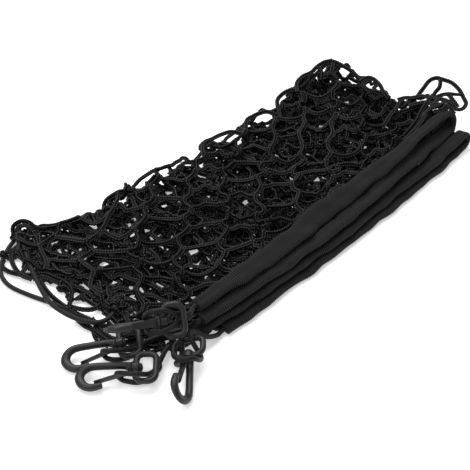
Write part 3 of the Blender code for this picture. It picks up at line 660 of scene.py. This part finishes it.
def sleeve(name, upper_run, lower_run, seed):
    rows = sleeve_line(upper_run, lower_run, SLEEVE_STEP)
    distance = np.concatenate([[0], np.cumsum(np.linalg.norm(np.diff(rows[:, :3], axis=0), axis=1))])
    calm = np.clip(np.minimum(distance, distance[-1] - distance) / 25, 0, 1)     # the mouths stay round
    rows[:, 1] += 0.6 * calm * drift(distance, seed, (97, 61, 37))
    rows[:, 3] *= 1 + 0.06 * calm * drift(distance, seed + 1, (89, 47, 26))
    rows[:, 4] *= 1 + 0.10 * calm * drift(distance, seed + 2, (71, 38, 19))
    rows[:, 5] += 7.0 * calm * drift(distance, seed + 3, (83, 44, 27))
    centres = (rows[:, :3] - (*ORIGIN_AT, 0)) * MM
    along = directions(centres)
    width = unit(np.array((0.0, 1.0, 0.0)) - along * along[:, 1:2])
    height = np.cross(along, width)
    tilt = np.radians(rows[:, 5:6])
    across = (width * np.cos(tilt) + height * np.sin(tilt)) * rows[:, 3:4] * MM
    upward = (height * np.cos(tilt) - width * np.sin(tilt)) * rows[:, 4:5] * MM
    made = swept(name + "_webbing", [(centres, across, upward * FULLNESS)], webbing, Step=RIB_PITCH * MM / 4,
                 Sides=SLEEVE_SIDES, Bead=0.035, Waist=0.66)
    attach(made, "folded_net")
    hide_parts(name)
    return made


sleeve("sleeve_b", RUN_1, RUN_2, 5)
sleeve("sleeve_a", RUN_3, RUN_4, 15)


# ---------------------------------------------------------------- the netting
# Knotless polyester netting: knitted lines zigzag across the net and short links tie each to the next, so
# that its cells are slack hexagons. Every bar is a chain of V stitches, which shows as two beaded ridges.

LINE_GAP = 31.0                 # between knitted lines, flat
BAR = 13.5                      # along a line, from one junction to the next
ZIGZAG = 3.6                    # of a line to each side, at its junctions
KNIT_TURN = -40.6               # of the knitted lines from the net's length, degrees
BAR_WIDTH = 4.2
BAR_THICKNESS = 2.5
STITCH = 2.3                    # length of one V, coarser than the real one's estimated 1.7, so that it shows
SPACING = 3.0                   # between the points of a bar while it settles
RIDGE_AT = 0.6                  # the crown of each ridge, as a share of the half width
SLANT_SHOWN = 2.2               # how far a V's arms lag behind its middle in the colours, in radians
BAR_FULLNESS = 1.25             # of a bar's height, for the waist that the sweep draws in
BESIDE = 2.2                    # from the middle of a knitted line to the link that runs beside it
LINE_SLACK = 1.06               # yarn in a bar of a knitted line over the flat distance
LINK_SLACK = 1.4
FROM_BAR, FROM_CORD = 2.8, 3.4  # how close the middle of a bar comes to another bar's and to the elastic's
WATCHED = 4.6                   # points closer than this are watched for touching
SAME_BAR = 6.0                  # unless the flat net has them closer than this
TABLE_GAP = 0.6                 # left between a bar's edge and the table for its beads and turns
FLAT_ALONG = (380.0, 1000.0)    # flat length of the half under the hand-spread layer, and of the rumpled half
FLAT_ACROSS = (420.0, 185.0)    # flat width of the lower half and of the upper half
FAR_TURN, BACK_TURN = 26.0, 34.0   # flat length that goes around each fold

# The bundle's outline: x, y along the back; share of the way across and x at the left and far ends
BACK_EDGE = ((-165, 112), (-140, 120), (-120, 124), (-98, 112), (-75, 99), (-57, 98), (-32, 90), (-13, 90),
             (13, 84), (52, 80), (75, 79), (100, 71), (131, 70), (144, 66), (160, 76), (191, 82), (217, 78),
             (240, 72))
TOP_END = ((0.0, -94), (0.1, -112), (0.18, -126), (0.30, -132), (0.40, -134), (0.47, -134), (0.56, -138),
           (0.66, -144), (0.85, -144), (1.0, -130))
CORD_END = ((0.0, -108), (0.1, -130), (0.18, -146), (0.30, -149), (0.38, -149), (0.52, -147), (0.65, -149),
            (0.78, -153), (0.9, -157), (1.0, -152))
FAR_END = ((0.0, 224), (0.1, 235), (0.2, 236), (0.27, 237), (0.44, 227), (0.55, 232), (0.65, 234), (0.8, 236),
           (1.0, 230))
# x, height from one layer's middle to the next, height of the rumples in the top layer
LOFT = ((-165, 1.3, 0.0), (-140, 2.2, 0.3), (-115, 4.4, 0.8), (-80, 6.6, 1.8), (-20, 7.6, 2.6),
        (60, 7.6, 2.6), (140, 7.4, 2.4), (200, 7.8, 3.0), (270, 7.8, 3.6))
SEAM_Y, SEAM_SHARE = -38.0, 2 / 11      # where the gathered strip behind the sleeves ends: y, share across


def folded(p, q):
    """Where points of the flat net come to lie, in the tables' millimetres, and in which of the layers."""
    first, lower = p < FLAT_ALONG[0], q < FLAT_ACROSS[0]
    along = np.minimum(np.where(first, p / (FLAT_ALONG[0] - FAR_TURN / 2),
                                (sum(FLAT_ALONG) - p) / (FLAT_ALONG[1] - FAR_TURN / 2)), 1)
    across = np.minimum(np.where(lower, q / (FLAT_ACROSS[0] - BACK_TURN / 2),
                                 (sum(FLAT_ACROSS) - q) / (FLAT_ACROSS[1] - BACK_TURN / 2)), 1)
    far_angle = math.pi * np.clip((p - FLAT_ALONG[0]) / FAR_TURN + 0.5, 0, 1)
    back_angle = math.pi * np.clip((q - FLAT_ACROSS[0]) / BACK_TURN + 0.5, 0, 1)
    left = np.where(~lower & ~first, smooth_through(CORD_END, across)[:, 1],
                    smooth_through(TOP_END, across)[:, 1])
    far = smooth_through(FAR_END, across)[:, 1]
    x = left + (far - left) * along
    sleeve_y = np.zeros_like(x)
    for mask, run in ((lower & first, RUN_4), (lower & ~first, RUN_3), (~lower & first, RUN_1),
                      (~lower & ~first, RUN_2)):
        row = smooth_through(run, x)
        sleeve_y = np.where(mask, row[:, 1] + row[:, 3] - 1.0, sleeve_y)
    back_y = smooth_through(BACK_EDGE, x)[:, 1]
    y = np.where(across < SEAM_SHARE, sleeve_y + (SEAM_Y - sleeve_y) * across / SEAM_SHARE,
                 SEAM_Y + (back_y - SEAM_Y) * (across - SEAM_SHARE) / (1 - SEAM_SHARE))
    pitch, swell = smooth_through(LOFT, x)[:, 1:3].T
    offset = pitch / 2 * np.cos(far_angle)
    radius = pitch + offset
    z = BAR_THICKNESS / 2 + 1.5 * pitch - radius * np.cos(back_angle)
    rise = (0.5 * np.sin(x / 21 + 0.9) * np.cos(y / 17 - 0.4) + 0.3 * np.sin(x / 34 - y / 29)
            + 0.2 * np.cos(x / 12.5 + y / 15))
    # The heap stands higher in front and at the back of its far end.
    z += 7.0 * (z / (3 * pitch)) * np.clip((x - 205) / 25, 0, 1) * np.clip((-8 - y) / 15, 0, 1)
    z += 5.0 * (z / (3 * pitch)) * np.clip((x - 165) / 30, 0, 1) * np.clip((y - 45) / 20, 0, 1)
    z += swell * z / (3 * pitch) * rise * np.minimum(1, across / SEAM_SHARE)
    layer = 2 * (~lower).astype(int) + np.where(lower, ~first, first).astype(int)
    spots = np.stack([x + pitch / 2 * np.sin(far_angle), y + radius * np.sin(back_angle), z], axis=1)
    return spots, layer


def waves(spots, seed, length):
    """Smooth sideways drift of about one unit, with waves of this length."""
    rng = np.random.default_rng(seed)
    total = np.zeros((len(spots), 3))
    for _ in range(5):
        heading = rng.uniform(0, 2 * math.pi)
        scale = 2 * math.pi / (length * rng.uniform(0.7, 1.5))
        phase = rng.uniform(0, 2 * math.pi, 3)
        distance = (spots[:, 0] * math.cos(heading) + spots[:, 1] * math.sin(heading)) * scale
        total += np.sin(distance[:, None] + phase) * 0.63
    return total


class Netting:
    """The net as a graph: junctions, then the points along each bar."""

    def __init__(self):
        self.flat, self.bars = [], []
        self.rng = np.random.default_rng(21)
        long, wide = sum(FLAT_ALONG), sum(FLAT_ACROSS)
        turned = math.radians(KNIT_TURN)
        knit = np.array((math.cos(turned), math.sin(turned)))
        link = np.array((math.sin(turned), -math.cos(turned)))
        reach = int((long + wide) / min(LINE_GAP, 2 * BAR))
        index = {}
        middle = np.array((FLAT_ALONG[0] / 2, wide - FLAT_ACROSS[1] / 2))
        for k in range(-reach, reach + 1):
            for j in range(-2 * reach, 2 * reach + 1):
                side = 1 if (j + k) % 2 == 0 else -1
                spot = middle + knit * (BAR * j) + link * (LINE_GAP * k + ZIGZAG * side)
                margin = BAR * 0.55
                if -margin < spot[0] < long + margin and -margin < spot[1] < wide + margin:
                    index[k, j] = len(self.flat)
                    self.flat.append(np.clip(spot, (0, 0), (long, wide)))
        self.junctions = len(self.flat)
        for (k, j), a in sorted(index.items()):
            if (k, j + 1) in index:
                self.add_bar(a, index[k, j + 1], ("line", k, j))
        for (k, j), a in sorted(index.items()):
            if (j + k) % 2 == 0 and (k + 1, j) in index:
                self.add_bar(a, index[k + 1, j], ("link", k, j))
        edge = [i for i in range(self.junctions) if self.flat[i][0] in (0.0, long)]
        for side in (0.0, long):
            ends = sorted((i for i in edge if self.flat[i][0] == side), key=lambda i: self.flat[i][1])
            for a, b in zip(ends, ends[1:]):
                if np.linalg.norm(self.flat[a] - self.flat[b]) < 2.2 * LINE_GAP:
                    self.add_bar(a, b, ("link", side, a))
        self.flat = np.array(self.flat)
        self.pinned = np.isin(self.flat[:, 1], (0.0, wide)) & (np.arange(len(self.flat)) < self.junctions)

    def add_bar(self, a, b, kind):
        distance = np.linalg.norm(self.flat[a] - self.flat[b])
        slack = LINE_SLACK if kind[0] == "line" else LINK_SLACK * self.rng.uniform(0.85, 1.15)
        count = max(3, round(distance * slack / SPACING))
        first = len(self.flat)
        for i in range(1, count):
            self.flat.append(self.flat[a] + (self.flat[b] - self.flat[a]) * i / count)
        self.bars.append((kind, [a, *range(first, len(self.flat)), b], max(distance, 4.0) * slack / count))


def near_pairs(points, radius):
    """All pairs of points closer than `radius`, by sorting them into cubes of that size."""
    cells = np.floor(points / radius).astype(np.int64)
    cells -= cells.min(0) - 1
    size = cells.max(0) + 2
    keys = (cells[:, 0] * size[1] + cells[:, 1]) * size[2] + cells[:, 2]
    order = np.argsort(keys, kind="stable")
    sorted_keys = keys[order]
    found = []
    steps = [(dx, dy, dz) for dx in (0, 1) for dy in (-1, 0, 1) for dz in (-1, 0, 1)
             if (dx, dy, dz) >= (0, 0, 0)]
    for dx, dy, dz in steps:
        wanted = keys + (dx * size[1] + dy) * size[2] + dz
        begin = np.searchsorted(sorted_keys, wanted, side="left")
        count = np.searchsorted(sorted_keys, wanted, side="right") - begin
        a = np.repeat(np.arange(len(points)), count)
        offset = np.arange(count.sum()) - np.repeat(np.cumsum(count) - count, count)
        b = order[np.repeat(begin, count) + offset]
        if (dx, dy, dz) == (0, 0, 0):
            a, b = a[a < b], b[a < b]
        found.append((a, b))
    a, b = (np.concatenate(side) for side in zip(*found))
    close = ((points[a] - points[b]) ** 2).sum(1) < radius * radius
    return a[close], b[close]


def scatter(index, vectors, count):
    return np.stack([np.bincount(index, vectors[:, c], count) for c in range(3)], axis=1)


def settle(net, rounds=170):
    """Lays the net in its folds; its bars take their own length and rest on each other and the table."""
    target, layer = folded(net.flat[:, 0], net.flat[:, 1])
    flat = np.concatenate([net.flat, np.zeros((len(OBSTACLES), 2))])
    rng = np.random.default_rng(7)
    loose = np.where(layer == 3, 0.55, 1.0)[:, None]
    target[:, :2] += (waves(net.flat, 3, 95) * 5.0 * loose)[:, :2] * (~net.pinned[:, None])
    points = target.copy()
    a, b, rest = [], [], []
    for kind, line, length in net.bars:
        ends = target[line[0]], target[line[-1]]
        span = ends[1] - ends[0]
        distance = max(np.linalg.norm(span), 1.0)
        spare = length * (len(line) - 1) / distance
        height = 2 * distance / math.pi * math.sqrt(max(spare - 1, 0.0)) * 0.9
        swing = rng.normal(0.0, 0.55) + (0.5 if rng.random() < 0.6 else -0.5) * math.pi
        sideways = unit(np.cross(span, (0, 0, 1.0)))
        bow = sideways * math.sin(swing) + np.array((0, 0, 0.5 * math.cos(swing)))
        share = np.linspace(0, 1, len(line))[:, None]
        path = ends[0] + span * share + bow * height * np.sin(math.pi * share)
        points[line[1:-1]] = path[1:-1]
        a += line[:-1]
        b += line[1:]
        rest += [length] * (len(line) - 1)
    a, b, rest = np.array(a), np.array(b), np.array(rest)
    whole = [line for _, line, _ in net.bars]
    starts = {line[0]: line for kind, line, _ in net.bars if kind[0] == "line"}
    whole += [[line[-2], line[-1], starts[line[-1]][1]] for kind, line, _ in net.bars
              if kind[0] == "line" and line[-1] in starts]
    bend_a, bend_m, bend_b = (np.concatenate([line[i:len(line) - 2 + i] for line in whole]) for i in range(3))
    count = len(points)
    uses = np.maximum(np.bincount(a, minlength=count) + np.bincount(b, minlength=count), 1)[:, None]
    free = (~net.pinned).astype(float)[:, None]
    is_junction = (np.arange(count) < net.junctions)[:, None]
    near_fold = (np.abs(net.flat[:, 0] - FLAT_ALONG[0]) < 22) | (np.abs(net.flat[:, 1] - FLAT_ACROSS[0]) < 26)
    firm = np.where(near_fold[:, None], 0.4, 0.2)
    solid = np.array(OBSTACLES)
    for step in range(rounds):
        hold = np.where(is_junction, firm, 0.004) * (1.0 if step < rounds * 0.7 else 0.4)
        points += hold * (target - points) * free
        points[:, 2] -= 0.03 * free[:, 0]
        middle = (points[bend_a] + points[bend_b]) / 2 - points[bend_m]
        points += scatter(bend_m, middle * (0.04 if step < rounds * 0.85 else 0.2), count) * free
        for _ in range(3):
            apart = points[b] - points[a]
            long = np.maximum(np.linalg.norm(apart, axis=1), 1e-6)
            push = apart * (0.5 * (long - rest) / long)[:, None]
            points += 1.2 * (scatter(a, push, count) - scatter(b, push, count)) / uses * free
        everything = np.concatenate([points, solid])
        if step % 4 == 0:
            i, j = near_pairs(everything, WATCHED)
            other = (j >= count) | (i >= count)
            keep = (np.minimum(i, j) < count) & (other | (((flat[i] - flat[j]) ** 2).sum(1) > SAME_BAR ** 2))
            i, j = i[keep], j[keep]
            reach = np.where(other[keep], FROM_CORD, FROM_BAR)
        apart = everything[j] - everything[i]
        long = np.maximum(np.linalg.norm(apart, axis=1), 1e-6)
        touch = long < reach
        push = apart[touch] * (0.35 * (reach - long)[touch] / long[touch])[:, None]
        moved = scatter(i[touch], push, len(everything)) - scatter(j[touch], push, len(everything))
        points -= moved[:count] * free
        points[:, 2] = np.maximum(points[:, 2], BAR_THICKNESS / 2 + 0.1)
    return points, layer


def strands(net, points, layer):
    """The settled net as lines to sweep, one list for each layer.

    A knitted line is one long sweep. A link runs beside the knitted line for a few stitches at each of its
    ends before it leaves, so that every junction is a stem of two bars.
    """
    found = [[] for _ in range(4)]
    knitted, after, before = {}, {}, {}
    for (kind, *_), line, _ in net.bars:
        if kind == "line":
            after[line[0]], before[line[-1]] = line, line[::-1]
    for (kind, k, _), line, _ in net.bars:
        level = int(np.median(layer[line[1:-1]]))
        if kind == "line":
            run = knitted.get(k)
            if run and run[0] == level and run[1][-1] == line[0]:
                run[1].extend(line[1:])
            else:
                if run:
                    found[run[0]].append(points[run[1]])
                knitted[k] = (level, list(line))
        else:
            route = points[line].copy()
            ends = []
            for end, inward, table in ((line[0], 1, after), (line[-1], -2, before)):
                beside = table.get(end)
                if beside is None:
                    ends.append(None)
                    continue
                along = unit(points[beside[2]] - points[end])
                leave = points[line[inward]] - points[end]
                leave = unit(leave - along * (leave @ along)) * BESIDE
                ends.append([points[beside[2]] + leave * 0.8, points[beside[1]] + leave, points[end] + leave])
            if ends[0]:
                route = np.concatenate([ends[0], route[1:]])
            if ends[1]:
                route = np.concatenate([route[:-1], ends[1][::-1]])
            found[level].append(route)
    for level, line in knitted.values():
        found[level].append(points[line])
    for level in range(4):
        for side in (0.0, sum(FLAT_ACROSS)):
            seam = np.flatnonzero(net.pinned & (net.flat[:, 1] == side) & (layer == level))
            if len(seam) > 3:
                found[level].append(points[seam[np.argsort(net.flat[seam, 0])]])
    return found


net = Netting()
points, layer = settle(net)
rng = np.random.default_rng(11)
netting_material, netting_tree, netting_shader = new_material("knitted_polyester", "#141415", 0.6)
netting_shader.inputs["Specular IOR Level"].default_value = 0.12
# The bars' colour is painted: painted shade in the valley between the ridges, at the bar's edges and between
# the stitches, and a painted highlight on the ridges' crowns.
stitch, side = pattern_wave(netting_tree, SLANT_SHOWN)
off_ridge = math_node(netting_tree, "ABSOLUTE", math_node(netting_tree, "SUBTRACT", side, RIDGE_AT))
ridge = add(netting_tree, "ShaderNodeMapRange",
            {"Value": off_ridge, "From Min": 0.27, "From Max": 0.02},
            interpolation_type="SMOOTHSTEP")
height = math_node(netting_tree, "MULTIPLY", stitch, ridge.outputs[0])
paint_shade_and_highlight(netting_tree, netting_shader, height, "#020202", "#5a5a5e", 0.0005)
# Loops of mesh that stand free of the heap: at the far end, along the back edge and around the left corner.
# Two more strands of the gathered edge lie in the upper sleeve's fold and close the gaps there.
LOOSE_LOOPS = (
    ((230, -24, 33), (243, -22, 35), (255, -20, 36), (262, -23, 37), (264, -30, 37), (266, -38, 36),
     (262, -49, 35), (256, -58, 33), (251, -64, 32), (243, -65, 31), (239, -60, 31), (241, -52, 32)),
    ((263, -27, 37), (253, -33, 36), (245, -34, 35), (235, -36, 33)),
    ((233, -38, 34), (244, -41, 35), (251, -46, 35), (258, -55, 34)),
    ((249, -46, 35), (245, -54, 34), (242, -61, 32)),
    ((218, -11, 30), (224, -15, 31), (226, -22, 33), (232, -27, 34), (234, -34, 35), (235, -42, 36),
     (240, -48, 35), (240, -56, 34), (236, -62, 32)),
    ((215, -25, 31), (220, -30, 33), (226, -35, 34), (228, -44, 35), (232, -51, 35), (233, -58, 34),
     (232, -64, 31)),
    ((234, -36, 35), (224, -38, 35), (212, -41, 34), (199, -45, 33), (187, -47, 32), (172, -49, 31)),
    ((236, -43, 36), (225, -45, 35), (213, -46, 34), (199, -50, 33), (185, -52, 32), (169, -53, 31)),
    ((237, -50, 36), (228, -49, 35), (219, -46, 35), (206, -46, 33)),
    ((237, -54, 35), (225, -55, 35), (219, -50, 34)),
    ((218, -14, 30), (208, -17, 29), (195, -19, 28), (178, -24, 28)),
    ((170, 69, 28), (179, 77, 30), (191, 79, 31), (200, 77, 31), (212, 78, 32), (222, 76, 33),
     (227, 70, 33), (228, 60, 32), (228, 52, 31), (225, 42, 30), (221, 33, 29)),
    ((211, 77, 32), (208, 70, 30), (200, 65, 27)),
    ((225, 69, 33), (214, 63, 31), (211, 53, 28)),
    ((200, 77, 31), (191, 73, 28), (178, 72, 27)),
    ((219, 33, 30), (227, 32, 31), (230, 26, 31), (227, 16, 30), (221, 7, 29), (218, -2, 28)),
    ((218, 31, 29), (216, 21, 28), (219, 12, 28), (222, 6, 28)),
    ((80, -62, 20), (104, -61, 19), (126, -59, 19), (150, -57, 19), (170, -57, 19), (187, -56.5, 18.5),
     (205, -55, 18.5), (218, -55.5, 21), (228, -55, 22), (235, -52, 22)),
    ((206, -57, 22), (218, -57, 23), (226, -57, 24), (233, -54, 25)),
    ((136, 62, 21), (150, 77, 24), (162, 81, 24), (171, 79, 25), (175, 72, 25), (166, 60, 22)),
    ((92, 66, 19), (108, 79, 23), (118, 80, 23), (127, 78, 23), (133, 74, 23), (138, 62, 20)),
    ((45, 74, 18), (59, 88, 21), (69, 86, 22), (80, 84, 22), (89, 79, 22), (96, 68, 19)),
    ((-157, -26, 3), (-146, -28, 4), (-138, -33, 5), (-132, -41, 4), (-130, -50, 3)),
    ((-158, -34, 3), (-148, -36, 3), (-142, -42, 3), (-139, -51, 3), (-133, -62, 3)),
    ((-138, -31, 8), (-140, -37, 5), (-142, -45, 4), (-145, -51, 3)),
    ((-132, -41, 10), (-137, -41, 6), (-145, -38, 4), (-155, -37, 3)),
    ((-126, -44, 6), (-124, -54, 3), (-132, -58, 3), (-139, -55, 3), (-139, -47, 3), (-135, -40, 6)),
    ((-158, -18, 6), (-150, -23, 8), (-143, -28, 7), (-137, -37, 9), (-130, -43, 10)),
    ((-160, -12, 4), (-157, -21, 3), (-152, -30, 3), (-151, -42, 3)),
    ((-121, -44, 9), (-127, -48, 6), (-136, -50, 4), (-146, -47, 3), (-154, -43, 3)),
    ((-128, 136, 7), (-125, 140, 10), (-122, 140, 13), (-116, 138, 14), (-112, 132, 13), (-112, 123, 12),
     (-107, 117, 12)),
    ((-126, 132, 7), (-124, 136, 10), (-120, 136, 12), (-116, 132, 12), (-115, 126, 10), (-117, 119, 8),
     (-121, 112, 6)),
    ((-112, 132, 13), (-117, 128, 9), (-124, 123, 6), (-130, 114, 4)),
    ((-138, 126, 4), (-146, 120, 4), (-153, 108, 4), (-156, 96, 4), (-154, 86, 4)),
    ((-135, 112, 4), (-143, 102, 5), (-152, 98, 5), (-157, 96, 4)),
    ((-152, 122, 3), (-158, 118, 3), (-159, 108, 3), (-155, 96, 4), (-147, 88, 3)),
    ((-134, 115, 4), (-135, 103, 4), (-134, 90, 5), (-135, 72, 6)),
    ((-147, 88, 3), (-143, 82, 5), (-142, 73, 6), (-141, 62, 7), (-144, 50, 8), (-152, 42, 8),
     (-160, 37, 7)),
    ((-149, 84, 3), (-154, 71, 3), (-157, 59, 3), (-159, 45, 4), (-159, 34, 4), (-159, 21, 4),
     (-155, 9, 4)),
    ((-157, 37, 5), (-153, 28, 5), (-147, 22, 5), (-137, 20, 6)),
    ((-162, 23, 3), (-163, 8, 3), (-165, -4, 4), (-165, -16, 4)),
    ((-155, 16, 4), (-160, 2, 4), (-161, -10, 4), (-159, -21, 4), (-151, -26, 4)),
    ((-154, 10, 3), (-161, -3, 3), (-165, -17, 3), (-162, -26, 3), (-154, -31, 3)),
    ((-152, 1, 7), (-155, -15, 7), (-152, -24, 7), (-143, -28, 7)),
    ((-140, -6, 9), (-144, -18, 9), (-142, -27, 9), (-133, -31, 9)),
    ((-146, 12, 7), (-147, -1, 7), (-151, -12, 6), (-161, -18, 5)),
    ((-136, -16, 6), (-141, -30, 6), (-141, -40, 5), (-133, -45, 5)),
    ((-132, -23, 8), (-136, -38, 8), (-132, -48, 7), (-120, -51, 7)),
    ((-147, -16, 5), (-149, -30, 4), (-147, -42, 4), (-138, -47, 4)),
    ((-156, 9, 3), (-165, 4, 3), (-170, -6, 3), (-169, -15, 3)),
    ((-162, 27, 3), (-164, 16, 3), (-163, 5, 3), (-166, -7, 3)),
)
STEP = (2.2, 2.2, 1.1, 0.85)    # between sections of a bar, layer by layer; the top one shows most
SIDES = (6, 5, 6, 8)
LEAN = (-0.4, -0.34, 0.85)      # the way the flat of most strands faces
layers = strands(net, points, layer)
loose = [smooth_route(loop, 3.0) for loop in LOOSE_LOOPS]
layers[3] += loose
for level, lines in enumerate(layers):
    shaped = []
    for line in lines:
        line = np.maximum(line, (-math.inf, -math.inf, BAR_WIDTH / 2 + TABLE_GAP))  # none sinks in
        route = (line - (*ORIGIN_AT, 0)) * MM
        twist = rng.normal(0, 0.45) + np.linspace(0, rng.normal(0, 0.7), len(line))
        across, upward = frames(route, twist, LEAN)
        shaped.append((route, across * BAR_WIDTH / 2 * MM, upward * BAR_THICKNESS / 2 * MM * BAR_FULLNESS))
    made = swept(f"netting_layer_{level + 1}", shaped, netting_material,
                 Step=STEP[level] * MM, Sides=SIDES[level], Waist=0.45, Bead=0.1, Rings=STITCH / STEP[level],
                 Slant=0.5)
    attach(made, "folded_net")
    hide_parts("net")
